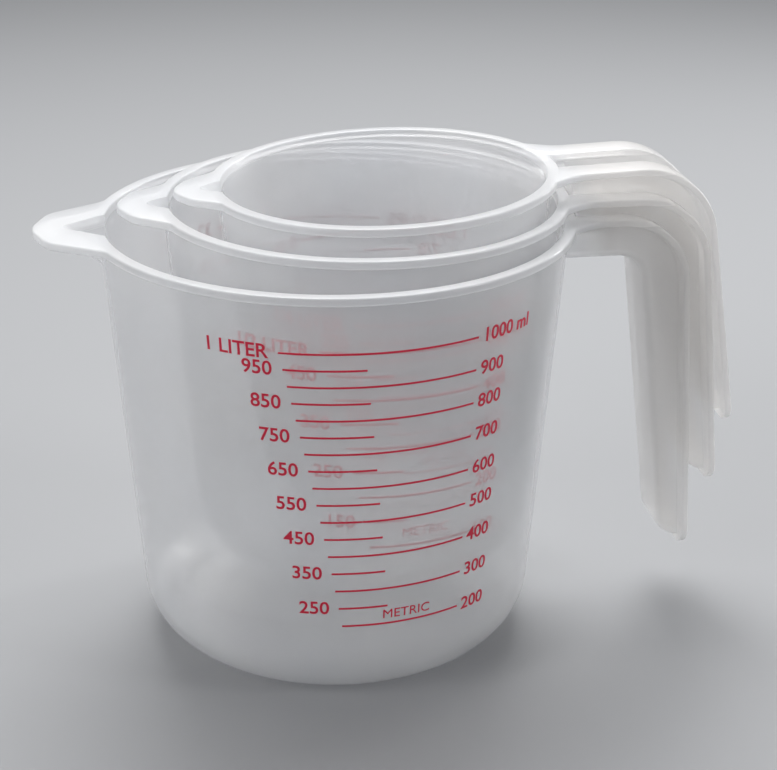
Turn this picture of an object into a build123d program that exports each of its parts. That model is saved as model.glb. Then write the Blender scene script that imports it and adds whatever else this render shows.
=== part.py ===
from build123d import *

import math
import os
from dataclasses import dataclass

# A nested set of three measuring cups (1000, 500 and 250 ml), moulded in milky polypropylene.
# +X runs towards the handles, the beaks point to -X, the metric scales face -Y, +Z is up.
# The origin is the centre of the underside of the 1000 ml cup. Lengths are in millimetres.

# Shared moulding sizes
WALL = 1.5                 # wall thickness of every cup
FLOOR = 1.8                # thickness of every floor
RIM_OVERHANG = 1.75        # how far the rim flange stands out from the wall
RIM_THICKNESS = 2.2        # height of the rim flange and of the beak plate
RIM_EDGE = 0.5             # rounding of the rim's edges
TOOL_REACH = 5.0           # how far a cutting solid runs past the face that it cuts

# Beak: a V-shaped channel with a flat plate round it
BEAK_HALF_ANGLE = 37.0     # half the angle of the V, seen from above
BEAK_KEEL_SLOPE = 40.0     # slope of the channel's bottom line below the horizontal
BEAK_NOSE_CORNER = 6.0     # rounding between the nose arc and the flanks
BEAK_ROOT_BLEND = 7.0      # rounding between the flanks and the rim
BEAK_NOSE_RISE = 3.6       # how far the nose arc bulges past its own ends
BEAK_SKIN_REACH = 2.0      # how far the channel's skin runs on inside the wall
BEAK_CUT_REACH = 14.0      # how far the channel's cut runs on inside the wall
BEAK_SKIN_DROP = 0.2       # the skin's top below the plate's top

# Handle: a channel that opens outwards, with a flange round its mouth
FLANGE_THICKNESS = 2.0     # thickness of the flange
HANDLE_SKIN = 1.5          # thickness of the channel's walls and floor
TONGUE = 3.0               # how far the flange runs on below the channel
TONGUE_CORNER = 7.0        # rounding of the flange's lower corners
CHANNEL_TOE = 6.0          # rounding of the channel's lower corner, seen from the side
STEP_DEPTH = 4.8           # channel depth where it crosses the rim of the next larger cup

# Printed scales
INK_THICKNESS = 0.12       # how far the print stands out
INK_GAP = 0.02             # air between the print and the wall
INK_LINE = 0.5             # height of a graduation line
LINE_START = -6.1          # left end of the lowest line, in degrees from the scale's middle
LINE_SPREAD = 14.3         # how much further left the top line starts, degrees
LINE_END = 27.3            # right end of the long lines, degrees
SHORT_END = 6.5            # right end of the lowest short line, degrees
SHORT_SPREAD = 7.2         # how much further left the highest short line ends, degrees


@dataclass
class Cup:
    """One moulded cup; heights below the rim are counted from the rim's top."""

    name: str              # capacity, as used in the node names
    height: float          # underside to rim top
    rim_radius: float      # outer wall radius at the rim's top
    taper: float           # wall slope, degrees
    foot_round: float      # outer rounding between wall and floor
    beak_tip: float        # axis to the tip of the V
    beak_nose: float       # axis to the front of the plate
    beak_flank: float      # half width of the plate where its flanks meet the nose
    beak_root: float       # half width of the plate where its flanks meet the rim
    bend_start: float      # axis to the start of the handle's bend
    bend_radius: float     # radius of the flange's outer face round the bend
    leg_angle: float       # slope of the handle's leg, degrees
    leg_drop: float        # rim to the lowest point of the handle
    flange_top: float      # flange width on top
    flange_foot: float     # flange width at the handle's foot
    channel_top: float     # inside width of the channel on top
    channel_foot: float    # inside width of the channel at its foot
    depth_top: float       # channel depth on top
    depth_foot: float      # channel depth at its foot
    step_end: float        # axis to where the channel has crossed the next larger cup's rim
    rim_x: float           # place of the rim's centre in the nest
    rim_z: float
    lean: float            # tilt in the nest that lifts the handle side, degrees

    def wall_radius(self, z):
        """Outer wall radius at height z above the cup's own underside."""
        return self.rim_radius - (self.height - z) * math.tan(math.radians(self.taper))

    def inside_radius(self, z):
        """Radius of the cavity at height z, with its rounded bottom."""
        slope = math.radians(self.taper)
        straight = self.wall_radius(z) - WALL / math.cos(slope)
        corner = self.foot_round - WALL
        rise = z - FLOOR
        if rise >= corner * (1 - math.sin(slope)):
            return straight
        foot = self.wall_radius(FLOOR) - WALL / math.cos(slope)
        centre = foot - corner * (1 - math.sin(slope)) / math.cos(slope)
        return centre + math.sqrt(max(corner**2 - (corner - rise) ** 2, 0.0))

    def fill_height(self, millilitres, step=0.02):
        """Height above the underside that a volume of water reaches."""
        z = FLOOR
        volume = 0.0
        while volume < millilitres * 1000 and z < self.height:
            volume += math.pi * self.inside_radius(z + step / 2) ** 2 * step
            z += step
        return z

    def place(self):
        """Location that carries the cup from its own frame to its place in the nest."""
        return Pos(self.rim_x, 0, self.rim_z) * Rot(0, -self.lean, 0) * Pos(0, 0, -self.height)


CUP_1000 = Cup(
    name="1000ml", height=119.4, rim_radius=62.75, taper=4.44, foot_round=16.5,
    beak_tip=72.8, beak_nose=79.4, beak_flank=12.2, beak_root=21.5,
    bend_start=76.0, bend_radius=19.5, leg_angle=4.3, leg_drop=102.2,
    flange_top=31.0, flange_foot=24.0, channel_top=19.4, channel_foot=14.0,
    depth_top=12.0, depth_foot=8.0, step_end=0.0, rim_x=0.0, rim_z=119.4, lean=0.0,
)
CUP_500 = Cup(
    name="500ml", height=100.0, rim_radius=53.25, taper=4.44, foot_round=14.0,
    beak_tip=58.7, beak_nose=65.0, beak_flank=10.6, beak_root=17.5,
    bend_start=73.0, bend_radius=20.5, leg_angle=6.4, leg_drop=87.5,
    flange_top=30.0, flange_foot=23.0, channel_top=15.6, channel_foot=11.2,
    depth_top=11.5, depth_foot=8.0, step_end=57.6, rim_x=7.7, rim_z=124.85, lean=0.0,
)
CUP_250 = Cup(
    name="250ml", height=86.0, rim_radius=44.9, taper=6.0, foot_round=12.0,
    beak_tip=50.1, beak_nose=55.7, beak_flank=8.8, beak_root=14.5,
    bend_start=66.8, bend_radius=22.0, leg_angle=7.6, leg_drop=78.6,
    flange_top=29.0, flange_foot=22.0, channel_top=11.8, channel_foot=8.4,
    depth_top=10.0, depth_foot=7.0, step_end=50.4, rim_x=13.2, rim_z=130.3, lean=2.2,
)
CUPS = (CUP_1000, CUP_500, CUP_250)


@dataclass
class Scale:
    """A printed scale, the same on every cup but for its steps."""

    name: str              # start of the node's name
    facing: float          # direction that the middle of the scale faces, degrees from +X
    millilitres: float     # one unit of the scale
    lines: dict            # for each cup: highest line, lowest line and step of the long lines, in units


METRIC_SCALE = Scale(
    name="metric_scale", facing=-90, millilitres=1.0,
    lines={"1000ml": (1000, 200, 100), "500ml": (500, 100, 100), "250ml": (250, 50, 50)},
)
CUP_SCALE = Scale(
    name="cup_scale", facing=90, millilitres=236.6,
    lines={"1000ml": (4, 0.5, 0.5), "500ml": (2, 0.5, 0.5), "250ml": (1, 0.25, 0.25)},
)
SCALES = (METRIC_SCALE, CUP_SCALE)


def rounded_cup_solid(radius_at, bottom, top, corner, slope):
    """Tapered round solid from bottom to top with a rounded lower edge."""
    foot = radius_at(bottom)
    centre = foot - corner * (1 - math.sin(slope)) / math.cos(slope)
    rise = corner * (1 - math.sin(slope))
    join = (centre + corner * math.cos(slope), 0, bottom + rise)
    half_turn = math.radians(-90 + (90 - math.degrees(slope)) / 2)
    middle = (centre + corner * math.cos(half_turn), 0, bottom + corner + corner * math.sin(half_turn))
    wire = Wire([
        Line((0, 0, bottom), (centre, 0, bottom)),
        ThreePointArc((centre, 0, bottom), middle, join),
        Line(join, (radius_at(top), 0, top)),
        Line((radius_at(top), 0, top), (0, 0, top)),
        Line((0, 0, top), (0, 0, bottom)),
    ])
    return revolve(Face(wire), Axis.Z)


def cup_shell_solids(cup):
    """Filled outer body and the cavity of a cup, each as one turned solid."""
    slope = math.radians(cup.taper)
    skin = WALL / math.cos(slope)
    body = rounded_cup_solid(cup.wall_radius, 0, cup.height, cup.foot_round, slope)
    cavity = rounded_cup_solid(
        lambda z: cup.wall_radius(z) - skin, FLOOR, cup.height + TOOL_REACH, cup.foot_round - WALL, slope
    )
    return body, cavity


def wedge(tip_x, end_x, top_z):
    """V-shaped wedge: a ridge line falls from the tip, and the flat top is at top_z."""
    run = end_x - tip_x
    half = run * math.tan(math.radians(BEAK_HALF_ANGLE))
    drop = run * math.tan(math.radians(BEAK_KEEL_SLOPE))
    tip = Vector(tip_x, 0, top_z)
    left = Vector(end_x, -half, top_z)
    right = Vector(end_x, half, top_z)
    keel = Vector(end_x, 0, top_z - drop)
    sides = [(tip, left, right), (tip, keel, left), (tip, right, keel), (left, keel, right)]
    return Solid(Shell([Face(Wire.make_polygon(side, close=True)) for side in sides]))


def beak_skin_shift():
    """How far the wedge moves along X to leave one wall thickness round the channel."""
    half = math.radians(BEAK_HALF_ANGLE)
    keel = math.radians(BEAK_KEEL_SLOPE)
    normal = Vector(math.cos(half), math.sin(half), 0).cross(Vector(math.cos(keel), 0, -math.sin(keel)))
    return WALL / abs(normal.normalized().X)


def beak_plate(cup):
    """Flat plate round the V, level with the rim."""
    rim = cup.rim_radius + RIM_OVERHANG
    root_x = -math.sqrt(rim**2 - cup.beak_root**2)
    flank_x = BEAK_NOSE_RISE - cup.beak_nose
    flank = (flank_x, cup.beak_flank)
    mirror = (flank_x, -cup.beak_flank)
    outline = Wire([
        Line((root_x, cup.beak_root), flank),
        ThreePointArc(flank, (-cup.beak_nose, 0), mirror),
        Line(mirror, (root_x, -cup.beak_root)),
        Line((root_x, -cup.beak_root), (root_x, cup.beak_root)),
    ])
    plate = extrude(Face(outline), amount=-RIM_THICKNESS)
    nose_corners = plate.edges().filter_by(Axis.Z).sort_by(Axis.X)[:2]
    plate = fillet(nose_corners, BEAK_NOSE_CORNER)
    return Pos(0, 0, cup.height) * plate


def rim_ring(cup, thickness):
    """Round plate out to the rim's edge, standing on the rim flange's underside."""
    ring = Cylinder(
        cup.rim_radius + RIM_OVERHANG, thickness, align=(Align.CENTER, Align.CENTER, Align.MIN)
    )
    return Pos(0, 0, cup.height - RIM_THICKNESS) * ring


def build_vessel(cup):
    """Wall, floor, rim flange and beak as one moulding, in the cup's own frame."""
    body, cavity = cup_shell_solids(cup)
    flange = rim_ring(cup, RIM_THICKNESS) + beak_plate(cup)
    roots = [
        edge for edge in flange.edges().filter_by(Axis.Z)
        if abs(abs(edge.center().Y) - cup.beak_root) < 1.0 and edge.center().X < 0
    ]
    flange = fillet(roots, BEAK_ROOT_BLEND)
    edges = [edge for edge in flange.edges() if abs(edge.center().Z - cup.height) < 0.01]
    flange = fillet(edges, RIM_EDGE)
    inside = WALL - cup.rim_radius
    skin_tip = -cup.beak_tip - beak_skin_shift()
    skin = wedge(skin_tip, inside + BEAK_SKIN_REACH, cup.height - BEAK_SKIN_DROP)
    channel = wedge(-cup.beak_tip, inside + BEAK_CUT_REACH, cup.height)
    return (body + flange + skin) - cavity - channel


def bend_point(cup, depth, angle):
    """Point at a depth below the handle's outer face, on the bend; 90 degrees is its start."""
    radius = cup.bend_radius - depth
    turn = math.radians(angle)
    centre_z = cup.height - cup.bend_radius
    return Vector(cup.bend_start + radius * math.cos(turn), 0, centre_z + radius * math.sin(turn))


def side_curve(cup, depth, angle, root_x, foot_z):
    """Top line, bend and leg at a depth below the outer face, down to height foot_z.

    angle is the slope of the leg in degrees. Returns the three edges and the last point.
    """
    start = Vector(root_x, 0, cup.height - depth)
    bend = bend_point(cup, depth, 90)
    knee = bend_point(cup, depth, angle)
    fall = knee.Z - foot_z
    foot = Vector(knee.X + fall * math.tan(math.radians(angle)), 0, foot_z)
    edges = [
        Line(start, bend),
        ThreePointArc(bend, bend_point(cup, depth, (90 + angle) / 2), knee),
        Line(knee, foot),
    ]
    return edges, start, foot


def side_slab(cup, shallow, deep, deep_angle, foot_lift, width):
    """Handle's side outline between two depths, given its width along Y."""
    root_x = cup.rim_radius - WALL
    foot_z = cup.height - cup.leg_drop + foot_lift
    outer, outer_start, outer_foot = side_curve(cup, shallow, cup.leg_angle, root_x, foot_z)
    inner, inner_start, inner_foot = side_curve(cup, deep, deep_angle, root_x, foot_z)
    outline = Wire([*outer, Line(outer_foot, inner_foot), *inner, Line(inner_start, outer_start)])
    return extrude(Face(outline), amount=width / 2, dir=(0, 1, 0), both=True)


def floor_angle(cup):
    """Slope of the channel's floor on the leg, which grows shallower towards the foot."""
    leg = cup.leg_drop - cup.bend_radius
    return cup.leg_angle + math.degrees(math.atan((cup.depth_top - cup.depth_foot) / leg))


def front_slab(cup, top_width, foot_width, foot_lift, corner):
    """Tapered outline of the handle seen along X, as a slab that trims its width."""
    top = cup.height + TOOL_REACH
    foot = cup.height - cup.leg_drop + foot_lift
    outline = Polyline(
        (0, -top_width / 2, top), (0, -foot_width / 2, foot), (0, foot_width / 2, foot),
        (0, top_width / 2, top), close=True,
    )
    slab = extrude(make_face(outline), amount=2 * cup.bend_start, dir=(1, 0, 0))
    if corner > 0:
        slab = fillet(slab.edges().filter_by(Axis.X).sort_by(Axis.Z)[:2], corner)
    return slab


def channel_solid(cup, shrink, mouth, foot_lift):
    """Tapered bar with the channel's outline, less a skin of thickness shrink on every side."""
    depth = cup.depth_top - shrink
    bar = side_slab(cup, mouth, depth, floor_angle(cup), foot_lift, cup.flange_top)
    toe = bar.edges().filter_by(Axis.Y).sort_by(Axis.Z)[0:2].sort_by(Axis.X)[0]
    bar = fillet(toe, CHANNEL_TOE - shrink)
    skin = 2 * (HANDLE_SKIN - shrink)
    bar &= front_slab(cup, cup.channel_top + skin, cup.channel_foot + skin, foot_lift, 0)
    if cup.step_end > 0:
        below = cup.height - STEP_DEPTH + shrink
        bar -= Box(cup.step_end + shrink, cup.flange_top, below, align=(Align.MIN, Align.CENTER, Align.MIN))
    return bar


def build_handle(cup):
    """Channel-section handle with its flange, cut to the outside of the vessel."""
    vessel, _ = cup_shell_solids(cup)
    rim = rim_ring(cup, RIM_THICKNESS + TOOL_REACH)
    flange = side_slab(cup, 0, FLANGE_THICKNESS, cup.leg_angle, 0, cup.flange_top + 2)
    flange &= front_slab(cup, cup.flange_top, cup.flange_foot, 0, TONGUE_CORNER)
    outer = channel_solid(cup, 0, 0, TONGUE)
    inner = channel_solid(cup, HANDLE_SKIN, -1, TONGUE + HANDLE_SKIN)
    return (flange + outer) - inner - vessel - rim


def ink_bar(cup, z, start_angle, end_angle):
    """Thin printed band on the wall at height z, between two angles seen from above."""
    rows = []
    for height in (z - INK_LINE / 2, z + INK_LINE / 2):
        wall = cup.wall_radius(height)
        rows.append(((wall + INK_GAP, 0, height), (wall + INK_GAP + INK_THICKNESS, 0, height)))
    (low_in, low_out), (high_in, high_out) = rows
    section = make_face(Polyline(low_in, low_out, high_out, high_in, close=True))
    return Rot(0, 0, start_angle) * revolve(section, Axis.Z, end_angle - start_angle)


def build_scale(cup, scale):
    """Printed graduation lines: long ones at whole steps, short ones half way between."""
    top, bottom, step = scale.lines[cup.name]
    count = round(2 * (top - bottom) / step)
    bars = []
    for index in range(count + 1):
        share = index / count
        amount = bottom + index * step / 2
        start = LINE_START - LINE_SPREAD * share
        end = LINE_END if index % 2 == 0 else SHORT_END - SHORT_SPREAD * share
        z = cup.fill_height(amount * scale.millilitres)
        bars.append(ink_bar(cup, z, scale.facing + start, scale.facing + end))
    return Compound(bars)


def main():
    """Build every node and write it in its place in the nest."""
    os.makedirs("parts", exist_ok=True)
    for cup in CUPS:
        nodes = {"vessel": build_vessel(cup), "handle": build_handle(cup)}
        for scale in SCALES:
            nodes[scale.name] = build_scale(cup, scale)
        for name, shape in nodes.items():
            export_step(cup.place() * shape, f"parts/{name}_{cup.name}.step")


main()
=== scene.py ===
"""Nested set of three milky measuring cups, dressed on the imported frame."""
import logging
import math
from dataclasses import dataclass
from enum import Enum

import bmesh
import bpy
from mathutils import Matrix, Vector


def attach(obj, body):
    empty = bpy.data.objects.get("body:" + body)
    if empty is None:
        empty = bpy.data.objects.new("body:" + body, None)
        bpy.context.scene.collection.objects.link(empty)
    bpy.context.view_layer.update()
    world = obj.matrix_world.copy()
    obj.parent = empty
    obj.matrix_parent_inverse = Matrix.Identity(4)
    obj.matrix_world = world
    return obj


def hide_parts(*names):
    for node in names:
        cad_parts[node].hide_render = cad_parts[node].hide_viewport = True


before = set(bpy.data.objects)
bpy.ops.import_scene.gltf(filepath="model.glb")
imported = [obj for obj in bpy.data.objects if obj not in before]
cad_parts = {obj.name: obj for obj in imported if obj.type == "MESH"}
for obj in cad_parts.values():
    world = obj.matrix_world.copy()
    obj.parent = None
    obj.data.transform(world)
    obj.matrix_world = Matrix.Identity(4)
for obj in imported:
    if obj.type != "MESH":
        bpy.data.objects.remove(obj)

log = logging.getLogger("measuring_cups")

MM = 0.001                 # one millimetre, in the scene's metres
CAP_SHARE = 0.7            # cap height of the font as a share of its size
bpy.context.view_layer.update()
Corner = tuple[float, float, float, int]   # two places, rounding and arc segments of a corner


class Cut(Enum):
    """How a tool solid changes a body."""

    JOIN = "UNION"
    REMOVE = "DIFFERENCE"


# ---------------------------------------------------------------- mesh helpers


def new_object(name: str, bm: bmesh.types.BMesh) -> bpy.types.Object:
    """Write a bmesh to a new linked object and free it.

    Args:
        name: name of the object and its mesh.
        bm: the finished bmesh.

    Returns:
        The object, at the origin.
    """
    mesh = bpy.data.meshes.new(name)
    bm.to_mesh(mesh)
    bm.free()
    obj = bpy.data.objects.new(name, mesh)
    bpy.context.scene.collection.objects.link(obj)
    return obj


def evaluated_mesh(obj: bpy.types.Object) -> bpy.types.Mesh:
    """Mesh of an object with its modifiers, or of a text, as new data."""
    graph = bpy.context.evaluated_depsgraph_get()
    return bpy.data.meshes.new_from_object(obj.evaluated_get(graph))


def combine(base: bpy.types.Object, tool: bpy.types.Object, cut: Cut) -> None:
    """Join a tool to a body or cut it away, and drop the tool.

    Args:
        base: the body that changes.
        tool: the closed solid that is used up.
        cut: what to do with it.
    """
    modifier = base.modifiers.new("cut", "BOOLEAN")
    modifier.operation = cut.value
    modifier.solver = "EXACT"
    modifier.object = tool
    mesh = evaluated_mesh(base)
    base.modifiers.clear()
    base.data = mesh
    bpy.data.objects.remove(tool)


def polygon(bm: bmesh.types.BMesh, corners: list[Vector]) -> bmesh.types.BMFace:
    """One flat face through the corners, in order."""
    return bm.faces.new([bm.verts.new(corner) for corner in corners])


def round_corner(bm: bmesh.types.BMesh, corner: Vector, radius: float, segments: int = 6) -> None:
    """Round one corner of a flat face to an arc.

    Args:
        bm: bmesh that holds the face.
        corner: place of the corner.
        radius: radius of the arc, in metres.
        segments: edges along the arc.
    """
    vert = min(bm.verts, key=lambda v: (v.co - corner).length)
    one, two = (edge.other_vert(vert).co - vert.co for edge in vert.link_edges)
    inside = one.angle(two)
    bmesh.ops.bevel(
        bm, geom=[vert], affect="VERTICES", offset=radius / math.tan(inside / 2), offset_type="OFFSET",
        segments=segments, profile=0.5, material=-1, clamp_overlap=False,
    )


def rounded_face(bm: bmesh.types.BMesh, corners: list[tuple[Vector, float, int]]) -> None:
    """Flat face with some of its corners rounded.

    Args:
        bm: bmesh that gets the face.
        corners: place, radius and segments of each corner; radius 0 keeps it sharp.
    """
    polygon(bm, [corner for corner, _, _ in corners])
    for corner, radius, segments in corners:
        if radius > 0:
            round_corner(bm, corner, radius, segments)


def turned(corners: list[Corner], steps: int) -> bmesh.types.BMesh:
    """Closed solid of revolution about Z.

    Args:
        corners: radius, height, rounding (all in millimetres) and arc segments of the outline's
            corners; the first and the last lie on the axis.
        steps: number of steps round the axis.

    Returns:
        The solid's bmesh, in metres.
    """
    bm = bmesh.new()
    rounded_face(bm, [(Vector((r, 0, z)) * MM, round_by * MM, seg) for r, z, round_by, seg in corners])
    bmesh.ops.delete(bm, geom=bm.faces[:], context="FACES_ONLY")
    on_axis = [edge for edge in bm.edges if all(vert.co.x < 1e-9 for vert in edge.verts)]
    bmesh.ops.delete(bm, geom=on_axis, context="EDGES")
    bmesh.ops.spin(
        bm, geom=bm.verts[:] + bm.edges[:], cent=(0, 0, 0), axis=(0, 0, 1), dvec=(0, 0, 0),
        angle=2 * math.pi, steps=steps, use_merge=True, use_duplicate=False,
    )
    bmesh.ops.remove_doubles(bm, verts=bm.verts[:], dist=1e-7)
    bmesh.ops.recalc_face_normals(bm, faces=bm.faces[:])
    return bm


# ---------------------------------------------------------------- sizes


@dataclass(frozen=True)
class Moulding:
    """Sizes that all the cups share, in millimetres and degrees."""

    wall: float = 1.5
    floor: float = 1.8
    rim_overhang: float = 1.75
    rim_thickness: float = 2.2
    rim_edge: float = 0.5
    flange: float = 2.0            # thickness of the handle's flange
    skin: float = 1.5              # thickness of the channel's walls
    tongue: float = 3.0            # flange below the channel
    tongue_corner: float = 7.0
    toe: float = 6.0               # rounding of the channel's lower end
    root_flare: float = 5.5        # how much wider the flange is where it meets the rim, each side
    root_reach: float = 7.5        # length of that flare
    step_depth: float = 4.8        # channel depth over the next rim
    step_ramp: float = 1.4         # length over which it deepens again
    v_half_angle: float = 37.0
    keel_slope: float = 40.0
    keel_round: float = 3.0
    nose_corner: float = 8.0
    root_corner: float = 8.0
    nose_rise: float = 3.6
    nose_half: float = 2.2         # half width of the beak's blunt nose
    plate_reach: float = 8.0       # how far the beak's plate runs in under the rim
    skin_drop: float = 0.4         # how far the beak's skin starts below the rim's top
    channel_reach: float = 14.0    # how far the V's cut runs in from the wall
    channel_rise: float = 4.0      # how far it is carried above the rim


@dataclass(frozen=True)
class CupSize:
    """Sizes of one cup, in millimetres and degrees, with its place in the nest."""

    name: str
    height: float
    rim_radius: float
    taper: float
    foot_round: float
    beak_tip: float
    beak_nose: float
    beak_flank: float
    beak_root: float
    bend_start: float
    bend_radius: float
    leg_angle: float
    leg_drop: float
    flange_top: float
    flange_foot: float
    channel_top: float
    channel_foot: float
    depth_top: float
    depth_foot: float
    step_end: float
    rim_x: float
    rim_z: float
    lean: float

    def wall_radius(self, z: float) -> float:
        """Outer wall radius at height z above the underside."""
        return self.rim_radius - (self.height - z) * math.tan(math.radians(self.taper))

    def place(self) -> Matrix:
        """Matrix from the cup's own frame, in metres, to its place in the nest."""
        rim = Matrix.Translation(Vector((self.rim_x, 0, self.rim_z)) * MM)
        lean = Matrix.Rotation(math.radians(-self.lean), 4, "Y")
        return rim @ lean @ Matrix.Translation((0, 0, -self.height * MM))


LARGE = CupSize(
    name="1000ml", height=119.4, rim_radius=62.75, taper=4.44, foot_round=16.5,
    beak_tip=72.8, beak_nose=79.4, beak_flank=12.2, beak_root=21.5,
    bend_start=76.0, bend_radius=19.5, leg_angle=4.3, leg_drop=102.2,
    flange_top=31.0, flange_foot=24.0, channel_top=19.4, channel_foot=14.0,
    depth_top=12.0, depth_foot=8.0, step_end=0.0, rim_x=0.0, rim_z=119.4, lean=0.0,
)
MIDDLE = CupSize(
    name="500ml", height=100.0, rim_radius=53.25, taper=4.44, foot_round=14.0,
    beak_tip=58.7, beak_nose=65.0, beak_flank=10.6, beak_root=17.5,
    bend_start=73.0, bend_radius=20.5, leg_angle=6.4, leg_drop=87.5,
    flange_top=30.0, flange_foot=23.0, channel_top=15.6, channel_foot=11.2,
    depth_top=11.5, depth_foot=8.0, step_end=57.6, rim_x=7.7, rim_z=124.85, lean=0.0,
)
SMALL = CupSize(
    name="250ml", height=86.0, rim_radius=44.9, taper=6.0, foot_round=12.0,
    beak_tip=50.1, beak_nose=55.7, beak_flank=8.8, beak_root=14.5,
    bend_start=66.8, bend_radius=22.0, leg_angle=7.6, leg_drop=78.6,
    flange_top=29.0, flange_foot=22.0, channel_top=11.8, channel_foot=8.4,
    depth_top=10.0, depth_foot=7.0, step_end=50.4, rim_x=13.2, rim_z=130.3, lean=2.2,
)


# ---------------------------------------------------------------- finishes


class Sock:
    """A shader value; arithmetic on it adds the Math nodes."""

    def __init__(self, graph: "Graph", socket: bpy.types.NodeSocket) -> None:
        """Wrap an output socket of a graph."""
        self.graph = graph
        self.socket = socket

    def math(self, operation: str, one: object, two: object = 0.0, clamp: bool = False) -> "Sock":
        """Math node on two values.

        Args:
            operation: the node's operation.
            one: first value, a number or a Sock.
            two: second value.
            clamp: whether the result stays between 0 and 1.

        Returns:
            The node's value.
        """
        node = self.graph.node(
            "ShaderNodeMath", {"operation": operation, "use_clamp": clamp}, {0: one, 1: two}
        )
        return Sock(self.graph, node.outputs[0])

    def __add__(self, other: object) -> "Sock":
        """self + other."""
        return self.math("ADD", self, other)

    __radd__ = __add__

    def __mul__(self, other: object) -> "Sock":
        """self * other."""
        return self.math("MULTIPLY", self, other)

    __rmul__ = __mul__

    def __sub__(self, other: object) -> "Sock":
        """self - other."""
        return self.math("SUBTRACT", self, other)

    def __rsub__(self, other: object) -> "Sock":
        """other - self."""
        return self.math("SUBTRACT", other, self)

    def clamped(self) -> "Sock":
        """The value held between 0 and 1."""
        return self.math("ADD", self, 0.0, clamp=True)


class Graph:
    """Node tree of one new material."""

    def __init__(self, name: str) -> None:
        """Make the material and an empty tree with its output."""
        self.material = bpy.data.materials.new(name)
        self.material.use_nodes = True
        self.tree = self.material.node_tree
        self.tree.nodes.clear()
        self.output = self.tree.nodes.new("ShaderNodeOutputMaterial")
        self.place = self.value(self.node("ShaderNodeTexCoord", {}, {}), "Object")

    def node(self, kind: str, settings: dict, inputs: dict) -> bpy.types.Node:
        """Add a node.

        Args:
            kind: the node's type name.
            settings: its own settings, set first.
            inputs: values, sockets or Socks by socket name or number.

        Returns:
            The node.
        """
        node = self.tree.nodes.new(kind)
        for key, value in settings.items():
            setattr(node, key, value)
        for key, value in inputs.items():
            if isinstance(value, Sock):
                self.tree.links.new(value.socket, node.inputs[key])
            elif isinstance(value, bpy.types.NodeSocket):
                self.tree.links.new(value, node.inputs[key])
            else:
                node.inputs[key].default_value = value
        return node

    def value(self, node: bpy.types.Node, output: str | int = 0) -> Sock:
        """One output of a node as a Sock."""
        return Sock(self, node.outputs[output])

    def noise(self, scale: float, detail: float = 2.0, stretch: Vector | None = None) -> Sock:
        """Noise over the surface between 0 and 1.

        Args:
            scale: features per metre.
            detail: number of finer layers.
            stretch: factors along X, Y and Z, for streaks.

        Returns:
            The noise value.
        """
        place = self.place
        if stretch is not None:
            place = self.value(self.node("ShaderNodeMapping", {}, {"Vector": place, "Scale": stretch}))
        node = self.node("ShaderNodeTexNoise", {}, {"Vector": place, "Scale": scale, "Detail": detail})
        return self.value(node, 0)

    def finish(self, shader: bpy.types.Node) -> bpy.types.Material:
        """Link a shader to the output and return the material."""
        self.tree.links.new(shader.outputs[0], self.output.inputs["Surface"])
        return self.material


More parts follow.
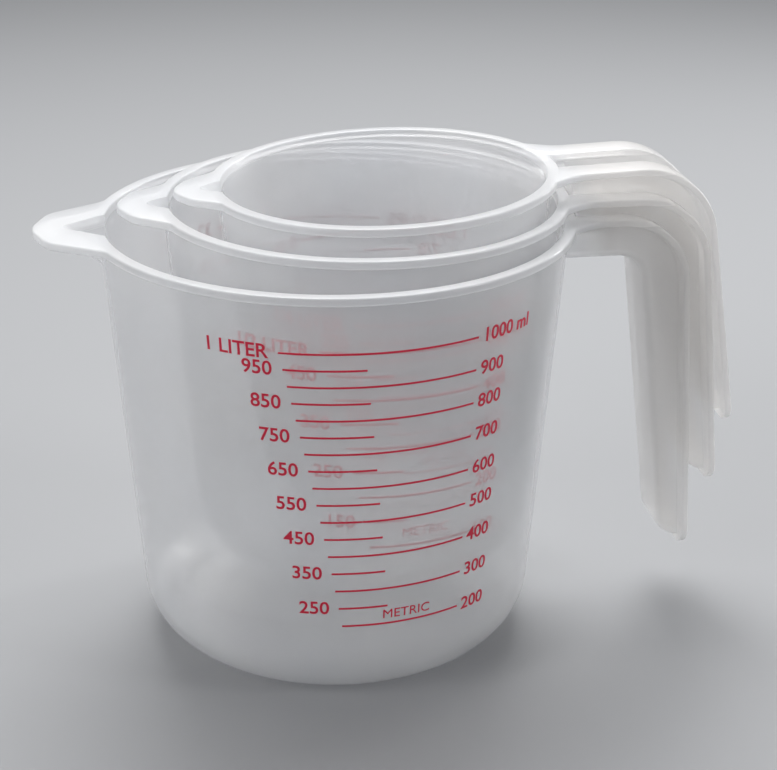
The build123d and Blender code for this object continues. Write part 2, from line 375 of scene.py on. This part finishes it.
@dataclass(frozen=True)
class MilkyPlastic:
    """Translucent moulded polypropylene, milkier where the moulding is thick."""

    name: str
    color: tuple[float, float, float] = (0.86, 0.875, 0.90)
    warm: tuple[float, float, float] = (0.93, 0.915, 0.90)
    haze: float = 0.33             # opacity of one face of the thin wall
    thick_haze: float = 0.33       # what the thickness of the rim adds to it
    foot_haze: float = 0.16        # what the thicker foot adds to it
    foot_rise: float = 26.0        # height over which the foot thins out, in millimetres
    clouds: float = 0.10           # how much it drifts
    grip_share: float = 0.65       # thickness of the handle against the rim's
    glow: float = 0.42             # share of the hazy light that passes on into the wall
    roughness: float = 0.31
    streaks: float = 0.12          # how much the roughness varies
    bump: float = 0.05
    coat: float = 0.35
    coat_roughness: float = 0.12
    rim_depth: float = 2.6         # height of the thick zone below the rim, in millimetres
    grip_start: float = 3.0        # how far outside the rim the handle turns milky, in millimetres

    def thickness(self, graph: Graph, size: CupSize) -> tuple[Sock, Sock, Sock]:
        """Masks of the thick parts of a cup.

        Args:
            graph: the material's graph.
            size: the cup.

        Returns:
            The masks of the rim and handle together, of the handle, and of the foot.
        """
        up = size.place().to_3x3() @ Vector((0, 0, 1))
        rim = size.place() @ Vector((0, 0, size.height * MM))
        along = graph.node("ShaderNodeVectorMath", {"operation": "DOT_PRODUCT"}, {0: graph.place, 1: up})
        below = (rim.dot(up) - graph.value(along, "Value")) * (1 / MM)
        across = graph.node("ShaderNodeSeparateXYZ", {}, {0: graph.place})
        start = size.rim_x + size.rim_radius + self.grip_start
        grip = ((graph.value(across, "X") * (1 / MM) - start) * 0.1).clamped()
        thick = ((self.rim_depth - below) * 2.0).clamped()
        foot = ((below - (size.height - self.foot_rise)) * (1 / self.foot_rise)).clamped()
        return thick.math("MAXIMUM", thick, self.grip_share * grip), grip, foot

    def material(self, size: CupSize) -> bpy.types.Material:
        """Build the material of one cup.

        Args:
            size: the cup.

        Returns:
            The node material.
        """
        graph = Graph(f"{self.name}_{size.name}")
        clouds = graph.noise(scale=22.0, detail=3.0)
        flow = graph.noise(scale=60.0, detail=4.0, stretch=Vector((1.0, 1.0, 0.16)))
        grain = graph.noise(scale=2600.0, detail=1.0)
        thick, grip, foot = self.thickness(graph, size)
        haze = self.haze + self.thick_haze * thick + self.foot_haze * foot * (1 - grip)
        tint = graph.node(
            "ShaderNodeMix", {"data_type": "RGBA"},
            {0: (1.2 * clouds - 0.3 + 0.8 * grip).clamped(), 6: (*self.color, 1.0), 7: (*self.warm, 1.0)},
        )
        bump = graph.node(
            "ShaderNodeBump", {},
            {"Strength": self.bump, "Distance": 0.0004, "Height": 0.7 * flow + 0.3 * grain},
        )
        shader = graph.node(
            "ShaderNodeBsdfPrincipled", {},
            {
                "Base Color": graph.value(tint, 2),
                "Roughness": self.roughness + self.streaks * flow,
                "Alpha": haze + self.clouds * (clouds - 0.5),
                "Transmission Weight": self.glow,
                "Coat Weight": self.coat,
                "Coat Roughness": self.coat_roughness,
                "Normal": graph.value(bump),
                "IOR": 1.49,
            },
        )
        return graph.finish(shader)


@dataclass(frozen=True)
class PrintInk:
    """Dark red screen-printing ink."""

    name: str
    color: tuple[float, float, float] = (0.55, 0.004, 0.030)
    light: tuple[float, float, float] = (0.66, 0.016, 0.06)
    roughness: float = 0.42

    def material(self) -> bpy.types.Material:
        """Build the material.

        Returns:
            The node material.
        """
        graph = Graph(self.name)
        coverage = graph.noise(scale=900.0, detail=3.0)
        tint = graph.node(
            "ShaderNodeMix", {"data_type": "RGBA"},
            {0: coverage, 6: (*self.color, 1.0), 7: (*self.light, 1.0)},
        )
        bump = graph.node("ShaderNodeBump", {}, {"Strength": 0.08, "Distance": 0.0001, "Height": coverage})
        shader = graph.node(
            "ShaderNodeBsdfPrincipled", {},
            {
                "Base Color": graph.value(tint, 2),
                "Roughness": self.roughness + 0.15 * coverage,
                "Normal": graph.value(bump),
            },
        )
        return graph.finish(shader)


# ---------------------------------------------------------------- cups


@dataclass
class Bowl:
    """Wall, floor, rim and beak of one cup."""

    size: CupSize
    moulding: Moulding
    steps: int = 160
    ring_gap: float = 6.0          # height between the rings of the straight wall, about

    def rings(self, skin: float) -> list[Corner]:
        """Corners on the straight wall, which keep the faces beside the beak and handle small.

        Args:
            skin: how far inside the outer wall they lie.

        Returns:
            Corners for turned(), from the lowest up.
        """
        size = self.size
        low, high = size.foot_round + 4, size.height - 7
        count = round((high - low) / self.ring_gap)
        heights = [low + (high - low) * index / count for index in range(count + 1)]
        return [(size.wall_radius(z) - skin, z, 0, 0) for z in heights]

    def outside(self) -> bmesh.types.BMesh:
        """Filled outer form with the rim flange."""
        size, shared = self.size, self.moulding
        rim = size.rim_radius + shared.rim_overhang
        shoulder = size.height - shared.rim_thickness
        return turned([
            (0, 0, 0, 0),
            (size.wall_radius(0), 0, size.foot_round, 12),
            *self.rings(0),
            (size.wall_radius(shoulder), shoulder, 0.6, 3),
            (rim, shoulder, shared.rim_edge, 3),
            (rim, size.height, shared.rim_edge, 3),
            (0, size.height, 0, 0),
        ], self.steps)

    def inside(self) -> bmesh.types.BMesh:
        """The cavity, a little taller than the cup."""
        size, shared = self.size, self.moulding
        skin = shared.wall / math.cos(math.radians(size.taper))
        lip = size.rim_radius - skin
        return turned([
            (0, shared.floor, 0, 0),
            (size.wall_radius(shared.floor) - skin, shared.floor, size.foot_round - shared.wall, 12),
            *self.rings(skin),
            (lip, size.height + 0.02, shared.rim_edge, 4),
            (lip + 4, size.height + 0.1, 0, 0),
            (lip + 4, size.height + 5, 0, 0),
            (0, size.height + 5, 0, 0),
        ], self.steps)

    def plate(self) -> bmesh.types.BMesh:
        """Flat plate round the V, with soft corners and edges."""
        size, shared = self.size, self.moulding
        rim = size.rim_radius + shared.rim_overhang - 0.1
        root = size.beak_root
        root_x = -math.sqrt(rim**2 - root**2)
        spread = root + shared.root_corner
        spread_x = -math.sqrt(rim**2 - spread**2)
        nose_x = shared.nose_rise - size.beak_nose
        half = [
            (-size.beak_nose, shared.nose_half, shared.nose_corner, 5),
            (nose_x, size.beak_flank, shared.nose_corner, 6),
            (root_x, root, shared.root_corner, 6),
            (spread_x, spread, 0, 0),
            (spread_x + shared.plate_reach, spread - 3, 0, 0),
        ]
        outline = half + [(x, -y, round_by, seg) for x, y, round_by, seg in reversed(half)]
        bm = bmesh.new()
        top = size.height - 0.01
        rounded_face(bm, [(Vector((x, y, top)) * MM, r * MM, seg) for x, y, r, seg in outline])
        sheet = bmesh.ops.extrude_face_region(bm, geom=bm.faces[:])["geom"]
        moved = [item for item in sheet if isinstance(item, bmesh.types.BMVert)]
        bmesh.ops.translate(bm, verts=moved, vec=(0, 0, -(shared.rim_thickness - 0.02) * MM))
        bmesh.ops.recalc_face_normals(bm, faces=bm.faces[:])
        flat = [edge for edge in bm.edges if abs(edge.verts[0].co.z - edge.verts[1].co.z) < 1e-7]
        bmesh.ops.bevel(
            bm, geom=flat, affect="EDGES", offset=shared.rim_edge * MM, offset_type="OFFSET", segments=3,
            profile=0.5, material=-1, clamp_overlap=True,
        )
        return bm

    def wedge(self, tip: float, end: float, top: float, raised: float, round_by: float) -> bmesh.types.BMesh:
        """V-shaped solid with a rounded keel.

        Args:
            tip: x of the V's tip.
            end: x of its wide end.
            top: height of its top.
            raised: how much further it is carried straight up.
            round_by: rounding of the keel.

        Returns:
            The bmesh, in metres.
        """
        run = end - tip
        half = run * math.tan(math.radians(self.moulding.v_half_angle))
        drop = run * math.tan(math.radians(self.moulding.keel_slope))
        bm = bmesh.new()
        points = [(tip, 0, top), (end, -half, top), (end, half, top), (end, 0, top - drop)]
        if raised > 0:
            points += [(tip, 0, top + raised), (end, -half, top + raised), (end, half, top + raised)]
        verts = [bm.verts.new(Vector(point) * MM) for point in points]
        bmesh.ops.convex_hull(bm, input=verts)
        bmesh.ops.dissolve_limit(
            bm, angle_limit=math.radians(0.5), verts=bm.verts[:], edges=bm.edges[:],
            use_dissolve_boundaries=False,
        )
        bmesh.ops.recalc_face_normals(bm, faces=bm.faces[:])
        ends = (Vector((tip, 0, top)) * MM, Vector((end, 0, top - drop)) * MM)
        keel = [
            edge for edge in bm.edges
            if all(min((vert.co - place).length for place in ends) < 1e-6 for vert in edge.verts)
        ]
        bmesh.ops.bevel(
            bm, geom=keel, affect="EDGES", offset=round_by * MM, offset_type="OFFSET", segments=6,
            profile=0.5, material=-1, clamp_overlap=True,
        )
        return bm

    def build(self) -> bpy.types.Object:
        """Bowl as one closed mesh.

        Returns:
            The object, in the cup's own frame.
        """
        size, shared = self.size, self.moulding
        inside = shared.wall - size.rim_radius
        half, keel = math.radians(shared.v_half_angle), math.radians(shared.keel_slope)
        edge = Vector((math.cos(half), math.sin(half), 0))
        side = edge.cross(Vector((math.cos(keel), 0, -math.sin(keel)))).normalized()
        skin_tip = -size.beak_tip - shared.wall / abs(side.x)
        bowl = new_object("bowl", self.outside())
        combine(bowl, new_object("plate", self.plate()), Cut.JOIN)
        skin = self.wedge(skin_tip, inside + 2, size.height - shared.skin_drop, 0, shared.keel_round)
        combine(bowl, new_object("skin", skin), Cut.JOIN)
        combine(bowl, new_object("inside", self.inside()), Cut.REMOVE)
        channel = self.wedge(
            -size.beak_tip, inside + shared.channel_reach, size.height, shared.channel_rise,
            shared.keel_round * 0.8,
        )
        combine(bowl, new_object("channel", channel), Cut.REMOVE)
        return bowl


@dataclass
class Handle:
    """Channel handle: a hat-shaped section carried along the top, the bend and the leg."""

    size: CupSize
    moulding: Moulding
    sink: float = 0.04             # how far the flange's face lies below the rim's

    def corners(self) -> tuple[list[Corner], list[Corner]]:
        """Right half of the section's outline.

        Returns:
            The corners of the inner face and those of the outer face; each is half width, depth,
            rounding and arc segments.
        """
        size, shared = self.size, self.moulding
        mouth, flange = size.channel_top / 2, size.flange_top / 2
        return [
            (flange, 0, 0.6, 3),
            (mouth, 0, 0.5, 3),
            (mouth, size.depth_top - shared.skin, 1.8, 4),
        ], [
            (mouth + shared.skin, size.depth_top, 2.6, 4),
            (mouth + shared.skin, shared.flange, 0.8, 3),
            (flange, shared.flange, 0.6, 3),
        ]

    def bar(self, count: int) -> bmesh.types.BMesh:
        """Straight bar with the section, one unit of X for each station.

        Args:
            count: number of stations.

        Returns:
            The closed bar; its Y and -Z are width and depth in metres.
        """
        inner, outer = self.corners()
        right = inner
        left = [(-y, d, r, seg) for y, d, r, seg in reversed(inner)]
        below = [(-y, d, r, seg) for y, d, r, seg in reversed(outer)]
        outline = right + left + below + outer
        bm = bmesh.new()
        rounded_face(bm, [(Vector((0, y, -d)) * MM, r * MM, seg) for y, d, r, seg in outline])
        loop = bm.edges[:]
        for _ in range(1, count):
            geom = bmesh.ops.extrude_edge_only(bm, edges=loop)["geom"]
            loop = [item for item in geom if isinstance(item, bmesh.types.BMEdge)]
            bmesh.ops.translate(
                bm, verts=[item for item in geom if isinstance(item, bmesh.types.BMVert)], vec=(1, 0, 0)
            )
        bmesh.ops.holes_fill(bm, edges=loop, sides=0)
        return bm

    def stations(self) -> list[float]:
        """Distances along the outer face, in millimetres, from the wall to the foot."""
        shared = self.moulding
        top, bend, foot = self.landmarks()
        toe = foot - shared.tongue - shared.toe
        marks = [0.0, 1.0, 1.8, 2.4, 3.0, 3.6, 4.2, 4.8, 5.4, 6.0, 6.8, 7.6, 8.6, 9.8, 11.2]
        marks = [mark for mark in marks if mark < top - 0.5] + [top]
        marks += [top + (bend - top) * index / 18 for index in range(1, 19)]
        marks += [bend + (toe - bend) * index / 14 for index in range(1, 15)]
        marks += [toe + shared.toe * math.sin(index / 10 * math.pi / 2) for index in range(1, 11)]
        last = foot - shared.tongue
        marks += [last + shared.tongue * math.sin(index / 8 * math.pi / 2) for index in range(1, 9)]
        return marks

    def landmarks(self) -> tuple[float, float, float]:
        """Distances along the outer face where the straight top, the bend and the leg end."""
        size = self.size
        top = size.bend_start - size.rim_radius
        bend = top + size.bend_radius * math.radians(90 - size.leg_angle)
        return top, bend, bend + self.leg_length()

    def leg_length(self) -> float:
        """Length of the straight leg."""
        size = self.size
        slope = math.radians(size.leg_angle)
        knee_drop = size.bend_radius * (1 - math.sin(slope))
        return (size.leg_drop - knee_drop) / math.cos(slope)

    def depth(self, s: float, shift: float) -> float:
        """Depth of the channel's underside at a distance along the handle.

        Args:
            s: distance along the outer face.
            shift: the skin that is taken off, with which the inner face is found.

        Returns:
            The depth below the outer face, in millimetres.
        """
        size, shared = self.size, self.moulding
        _, bend, foot = self.landmarks()
        share = min(max((s - bend) / (foot - bend), 0), 1)
        deep = size.depth_top + (size.depth_foot - size.depth_top) * share - shift
        if size.step_end > 0:
            ramp = (s - shift - (size.step_end - size.rim_radius)) / shared.step_ramp
            ramp = min(max(ramp, 0), 1)
            shallow = shared.step_depth - shift
            deep = shallow + (deep - shallow) * ramp * ramp * (3 - 2 * ramp)
        end = foot - shared.tongue - shift
        least = 0.02 if shift > 0 else shared.flange + 0.02
        if s > end - (shared.toe - shift):
            part = min((s - end + shared.toe - shift) / (shared.toe - shift), 1)
            deep = least + (deep - least) * math.sqrt(max(1 - part * part, 0))
        return max(deep, least)

    def warp(self, vert: bmesh.types.BMVert, marks: list[float]) -> None:
        """Carry one point of the straight bar to its place on the handle.

        Args:
            vert: the point; its X is the station's number.
            marks: distance of each station.
        """
        size, shared = self.size, self.moulding
        s = marks[round(vert.co.x)]
        y, d = vert.co.y / MM, -vert.co.z / MM
        slope = math.radians(size.leg_angle)
        top, bend, foot = self.landmarks()
        # depth
        inner, outer = self.depth(s, shared.skin), self.depth(s, 0)
        floor_top = size.depth_top - shared.skin
        mouth, side = size.channel_top / 2, size.channel_top / 2 + shared.skin
        if abs(y) <= mouth + 0.01 and d <= floor_top + 0.01:
            d = d * inner / floor_top
        elif d > shared.flange:
            stretch = (outer - shared.flange) / (size.depth_top - shared.flange)
            d = shared.flange + (d - shared.flange) * stretch
        # place on the outer face
        if s <= top:
            x, z, out = size.rim_radius + s, size.height, Vector((0, 0, 1))
        elif s <= bend:
            turn = (s - top) / size.bend_radius
            out = Vector((math.sin(turn), 0, math.cos(turn)))
            x = size.bend_start + size.bend_radius * out.x
            z = size.height - size.bend_radius + size.bend_radius * out.z
        else:
            out = Vector((math.cos(slope), 0, math.sin(slope)))
            x = size.bend_start + size.bend_radius * out.x + (s - bend) * math.sin(slope)
            z = size.height - size.bend_radius * (1 - out.z) - (s - bend) * math.cos(slope)
        # width
        fall = (size.height - z) / size.leg_drop
        new_mouth = (size.channel_top + (size.channel_foot - size.channel_top) * fall) / 2
        new_flange = (size.flange_top + (size.flange_foot - size.flange_top) * fall) / 2
        near = max(1 - max(s - shared.rim_overhang, 0) / shared.root_reach, 0)
        flare = shared.root_flare * near * near
        sign = math.copysign(1, y)
        y = abs(y)
        flange = size.flange_top / 2
        if y <= mouth:
            y = y * new_mouth / mouth
        elif y <= side:
            y = new_mouth + y - mouth
        else:
            part = (y - side) / (flange - side)
            y = new_mouth + shared.skin + part * (new_flange + flare - new_mouth - shared.skin)
        corner = shared.tongue_corner
        left = foot - s
        if left < corner:
            narrow = new_flange - corner + math.sqrt(corner**2 - (corner - left) ** 2)
            y = y * narrow / new_flange
        if left < 0.5:
            d = 1 + (d - 1) * (0.75 + left * 0.5)
        y = y * sign
        point = Vector((x, y, z)) - out * (d + self.sink)
        if s <= top:
            radius = size.wall_radius(min(point.z, size.height)) - shared.wall / 2
            root = math.sqrt(radius**2 - y**2)
            point.x = root + (size.bend_start - root) * s / top
        vert.co = point * MM

    def build(self) -> bpy.types.Object:
        """Handle as one closed mesh.

        Returns:
            The object, in the cup's own frame, with its root inside the wall.
        """
        marks = self.stations()
        bm = self.bar(len(marks))
        for vert in bm.verts:
            self.warp(vert, marks)
        bmesh.ops.remove_doubles(bm, verts=bm.verts[:], dist=2e-6)
        bmesh.ops.recalc_face_normals(bm, faces=bm.faces[:])
        return new_object("handle", bm)


@dataclass
class Cup:
    """One moulded cup: bowl and handle as one mesh."""

    size: CupSize
    moulding: Moulding
    plastic: MilkyPlastic

    def build(self) -> bpy.types.Object:
        """Build, place and dress the cup.

        Returns:
            The finished piece, riding on its body.
        """
        size = self.size
        cup = Bowl(size, self.moulding).build()
        combine(cup, Handle(size, self.moulding).build(), Cut.JOIN)
        bm = bmesh.new()
        bm.from_mesh(cup.data)
        bmesh.ops.remove_doubles(bm, verts=bm.verts[:], dist=5e-6)
        bmesh.ops.dissolve_degenerate(bm, edges=bm.edges[:], dist=5e-6)
        bmesh.ops.transform(bm, matrix=size.place(), verts=bm.verts[:])
        bm.to_mesh(cup.data)
        bm.free()
        cup.name = f"cup_{size.name}_moulding"
        cup.data.name = cup.name
        cup.data.materials.clear()
        cup.data.materials.append(self.plastic.material(size))
        cup.data.shade_smooth()
        cup.data.set_sharp_from_angle(angle=math.radians(35))
        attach(cup, f"cup_{size.name}")
        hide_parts(f"vessel_{size.name}", f"handle_{size.name}")
        return cup


# ---------------------------------------------------------------- printed scales


@dataclass(frozen=True)
class Band:
    """One printed line, as it lies on the cup."""

    z: float
    start: float
    end: float


class Side(Enum):
    """Which side of a line a label stands on."""

    LEFT = -1
    RIGHT = 1


@dataclass
class PrintedScale:
    """Numerals beside the graduation lines of one scale of one cup."""

    size: CupSize
    node: str
    facing: float                  # direction that the scale faces, degrees from +X
    right: list[str]               # labels of the long lines, top first
    left: list[str]                # labels of the short lines, top first
    title: str                     # label on the left of the top line
    unit: str                      # word low down between the lines
    ink: bpy.types.Material
    cap_height: float = 3.7
    left_gap: float = 2.6          # from a line to the label on its left
    right_gap: float = 1.5
    weight: float = 0.08           # how much the strokes are fattened
    unit_height: float = 2.7       # cap height of the word under the scale
    lift: float = 0.02             # air under the ink
    thickness: float = 0.06
    line_gap: float = 0.7          # faces further apart in height belong to different lines

    def bands(self) -> list[Band]:
        """Read the lines from the node, top first."""
        bm = bmesh.new()
        bm.from_mesh(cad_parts[self.node].data)
        bmesh.ops.transform(bm, matrix=self.size.place().inverted(), verts=bm.verts[:])
        rows: dict[float, list[Vector]] = {}
        for face in bm.faces:
            z = sum(vert.co.z for vert in face.verts) / len(face.verts)
            key = min(rows, key=lambda row: abs(row - z), default=None)
            if key is None or abs(key - z) > self.line_gap * MM:
                rows[z] = []
                key = z
            rows[key] += [vert.co.copy() for vert in face.verts]
        bm.free()
        found = []
        for points in rows.values():
            low, high = min(p.z for p in points), max(p.z for p in points)
            turns = [self.turn_of(point) for point in points]
            found.append(Band((low + high) / 2 / MM, min(turns), max(turns)))
        return sorted(found, key=lambda band: -band.z)

    def turn_of(self, point: Vector) -> float:
        """Angle of a point from the scale's middle, in degrees."""
        turn = math.degrees(math.atan2(point.y, point.x)) - self.facing
        return (turn + 180) % 360 - 180

    def label(self, words: str, edge: float, z: float, side: Side, height: float = 0.0) -> bmesh.types.BMesh:
        """Raised words on the wall.

        Args:
            words: what to print.
            edge: angle of the label's near end, in degrees from the scale's middle.
            z: height of the label's middle, in millimetres.
            side: which way the words run from that end.
            height: cap height in millimetres, or 0 for the scale's own.

        Returns:
            The words, in the cup's own frame.
        """
        curve = bpy.data.curves.new("words", "FONT")
        curve.body = words
        curve.size = (height or self.cap_height) / CAP_SHARE * MM
        curve.align_x = "LEFT" if side is Side.RIGHT else "RIGHT"
        curve.align_y = "CENTER"
        curve.extrude = self.thickness / 2 * MM
        curve.offset = 0.0 if height else self.weight * MM
        curve.resolution_u = 4
        text = bpy.data.objects.new("words", curve)
        bpy.context.scene.collection.objects.link(text)
        mesh = evaluated_mesh(text)
        bpy.data.objects.remove(text)
        bm = bmesh.new()
        bm.from_mesh(mesh)
        bpy.data.meshes.remove(mesh)
        bmesh.ops.remove_doubles(bm, verts=bm.verts[:], dist=1e-7)
        slope = math.radians(self.size.taper)
        outward = Vector((math.cos(slope), 0, -math.sin(slope)))
        middle = self.size.wall_radius(z)
        for vert in bm.verts:
            level = z + vert.co.y / MM * math.cos(slope)
            wall = self.size.wall_radius(level)
            turn = math.radians(self.facing + edge) + vert.co.x / MM / middle
            rise = self.lift + self.thickness / 2 + vert.co.z / MM
            point = Vector((wall, 0, level)) + outward * rise
            vert.co = Matrix.Rotation(turn, 3, "Z") @ point * MM
        return bm

    def build(self) -> bpy.types.Object:
        """Build all the labels of the scale as one piece.

        Returns:
            The finished piece, riding on its body.
        """
        bands = self.bands()
        around = self.size.wall_radius(bands[0].z)
        before, after = (math.degrees(gap / around) for gap in (self.left_gap, self.right_gap))
        joined = bmesh.new()
        labels = [self.label(self.title, bands[0].start - before, bands[0].z, Side.LEFT)]
        for band, words in zip(bands[0::2], self.right):
            labels.append(self.label(words, band.end + after, band.z, Side.RIGHT))
        for band, words in zip(bands[1::2], self.left):
            labels.append(self.label(words, band.start - before, band.z, Side.LEFT))
        middle = (bands[-1].z + bands[-2].z) / 2
        labels.append(self.label(self.unit, bands[-2].end - after, middle, Side.RIGHT, self.unit_height))
        for bm in labels:
            mesh = bpy.data.meshes.new("label")
            bm.to_mesh(mesh)
            bm.free()
            joined.from_mesh(mesh)
            bpy.data.meshes.remove(mesh)
        bmesh.ops.transform(joined, matrix=self.size.place(), verts=joined.verts[:])
        piece = new_object(self.node.replace("scale", "numerals"), joined)
        piece.data.materials.append(self.ink)
        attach(piece, f"cup_{self.size.name}")
        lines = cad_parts[self.node]
        for slot in lines.material_slots:
            slot.material = self.ink
        return piece


# ---------------------------------------------------------------- studio


@dataclass
class Studio:
    """Floor, lights and camera."""

    azimuth: float = -9.364
    elevation: float = 23.068
    roll: float = 0.38
    distance: float = 0.50432
    aim: tuple[float, float, float] = (0.01495, 0.0, 0.06916)
    focal_length: float = 83.76
    floor_size: float = 8.0
    floor_color: tuple[float, float, float] = (0.30, 0.304, 0.313)
    room_color: tuple[float, float, float] = (0.86, 0.88, 0.92)
    room_light: float = 0.22

    def camera(self) -> None:
        """Stand the camera and make it the scene's own."""
        azimuth, elevation = math.radians(self.azimuth), math.radians(self.elevation)
        back = Vector((
            math.sin(azimuth) * math.cos(elevation),
            -math.cos(azimuth) * math.cos(elevation),
            math.sin(elevation),
        ))
        right = Vector((0, 0, 1)).cross(back).normalized()
        up = back.cross(right)
        turn = Matrix.Rotation(math.radians(self.roll), 3, back)
        axes = Matrix((turn @ right, turn @ up, back)).transposed().to_4x4()
        data = bpy.data.cameras.new("camera")
        data.lens = self.focal_length
        data.sensor_width = 36.0
        data.sensor_fit = "HORIZONTAL"
        data.clip_start, data.clip_end = 0.01, 50.0
        camera = bpy.data.objects.new("camera", data)
        bpy.context.scene.collection.objects.link(camera)
        camera.matrix_world = Matrix.Translation(Vector(self.aim) + back * self.distance) @ axes
        bpy.context.scene.camera = camera

    def floor(self) -> None:
        """Lay the plain pale floor."""
        bm = bmesh.new()
        bmesh.ops.create_grid(bm, x_segments=2, y_segments=2, size=self.floor_size / 2)
        floor = new_object("floor", bm)
        graph = Graph("floor_paint")
        soft = graph.noise(scale=3.0)
        tint = graph.node(
            "ShaderNodeMix", {"data_type": "RGBA"},
            {0: soft, 6: (*self.floor_color, 1.0), 7: (*(0.97 * c for c in self.floor_color), 1.0)},
        )
        shader = graph.node(
            "ShaderNodeBsdfPrincipled", {}, {"Base Color": graph.value(tint, 2), "Roughness": 0.6}
        )
        floor.data.materials.append(graph.finish(shader))

    def light(
        self, name: str, place: Vector, aim: Vector, size: float, power: float, height: float = 0.0
    ) -> None:
        """Add one soft light.

        Args:
            name: its name.
            place: where it hangs, in metres.
            aim: the point that it faces.
            size: its side or width, in metres.
            power: its power, in watts.
            height: its height, in metres, or 0 for a square.
        """
        data = bpy.data.lights.new(name, "AREA")
        data.shape = "RECTANGLE"
        data.size = size
        data.size_y = height or size
        data.energy = power
        lamp = bpy.data.objects.new(name, data)
        turn = (place - aim).to_track_quat("Z", "Y").to_matrix().to_4x4()
        lamp.matrix_world = Matrix.Translation(place) @ turn
        bpy.context.scene.collection.objects.link(lamp)

    def lights(self) -> None:
        """Hang the soft lights and set the room's own light."""
        middle = Vector((0.0, 0.0, 0.08))
        self.light("top_light", Vector((0.05, 0.45, 0.95)), middle, 0.7, 15.0)
        self.light("left_light", Vector((-1.0, -0.5, 0.6)), middle, 0.6, 6.0)
        self.light("right_light", Vector((1.0, -0.55, 0.5)), middle, 0.22, 4.0)
        self.light("strip_light", Vector((0.85, 0.40, 0.28)), middle, 0.10, 4.0, height=0.5)
        world = bpy.data.worlds.new("studio")
        world.use_nodes = True
        background = world.node_tree.nodes["Background"]
        background.inputs["Color"].default_value = (*self.room_color, 1.0)
        background.inputs["Strength"].default_value = self.room_light
        bpy.context.scene.world = world
        bpy.context.scene.view_settings.view_transform = "Standard"

    def build(self) -> None:
        """Set up the whole studio."""
        self.camera()
        self.floor()
        self.lights()


METRIC = {
    "1000ml": (
        ["1000 ml", "900", "800", "700", "600", "500", "400", "300", "200"],
        ["950", "850", "750", "650", "550", "450", "350", "250"], "1 LITER", "METRIC",
    ),
    "500ml": (
        ["500 ml", "400", "300", "200", "100"], ["450", "350", "250", "150"], "1/2 LITER", "METRIC",
    ),
    "250ml": (
        ["250 ml", "200", "150", "100", "50"], ["225", "175", "125", "75"], "1/4 LITER", "METRIC",
    ),
}
CUPS_AND_OUNCES = {
    "1000ml": (
        ["32 oz", "28", "24", "20", "16", "12", "8", "4"],
        ["3 3/4", "3 1/4", "2 3/4", "2 1/4", "1 3/4", "1 1/4", "3/4"], "4 CUPS", "OUNCES",
    ),
    "500ml": (["16 oz", "12", "8", "4"], ["1 3/4", "1 1/4", "3/4"], "2 CUPS", "OUNCES"),
    "250ml": (["8 oz", "6", "4", "2"], ["7/8", "5/8", "3/8"], "1 CUP", "OUNCES"),
}


def main() -> None:
    """Build every piece in order and log it."""
    logging.basicConfig(level=logging.INFO, format="%(message)s")
    Studio().build()
    plastic = MilkyPlastic("milky_polypropylene")
    ink = PrintInk("red_ink").material()
    moulding = Moulding()
    for size in (LARGE, MIDDLE, SMALL):
        cup = Cup(size, moulding, plastic).build()
        log.info("%s: %d faces", cup.name, len(cup.data.polygons))
        for kind, facing, words in (("metric_scale", -90, METRIC), ("cup_scale", 90, CUPS_AND_OUNCES)):
            right, left, title, unit = words[size.name]
            scale = PrintedScale(size, f"{kind}_{size.name}", facing, right, left, title, unit, ink)
            piece = scale.build()
            log.info("%s: %d faces", piece.name, len(piece.data.polygons))


if __name__ == "__main__":
    main()
